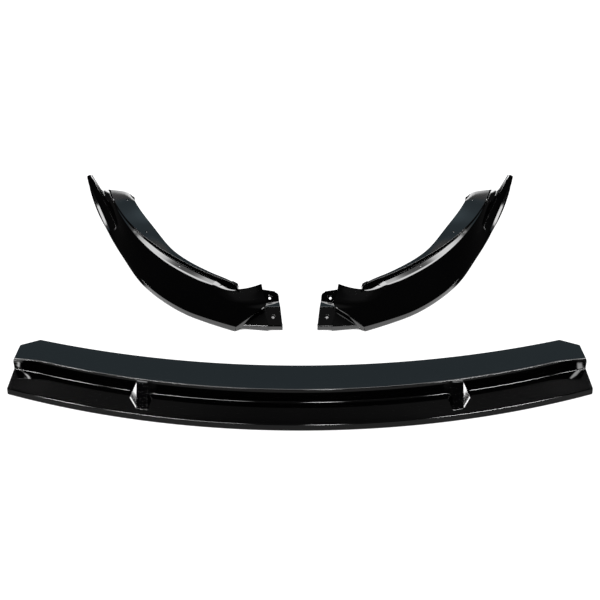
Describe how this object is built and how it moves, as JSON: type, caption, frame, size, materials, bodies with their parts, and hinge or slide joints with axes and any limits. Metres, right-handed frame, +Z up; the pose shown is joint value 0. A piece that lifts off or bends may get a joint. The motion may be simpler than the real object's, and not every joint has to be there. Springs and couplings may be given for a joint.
{
  "type": "front splitter lip",
  "caption": "Front bumper splitter lip kit in gloss black: a bowed centre blade with a raised rear plate and gusset pads, and mirrored left and right side blades with flanges and joining tabs.",
  "frame": {"origin": "on the floor, under the middle of the whole laid-out kit's bounding box", "axes": "+X to the kit's right in plan, along the centre section; +Y to the rear, from the leading edge towards the wheel arch ends; +Z up"},
  "size_m": [1.16, 0.853, 0.066],
  "materials": {
    "gloss_black": "high-gloss black, smooth as moulded"
  },
  "bodies": {
    "root": {"center_section": "gloss_black", "left_section": "gloss_black", "right_section": "gloss_black"}
  },
  "joints": []
}
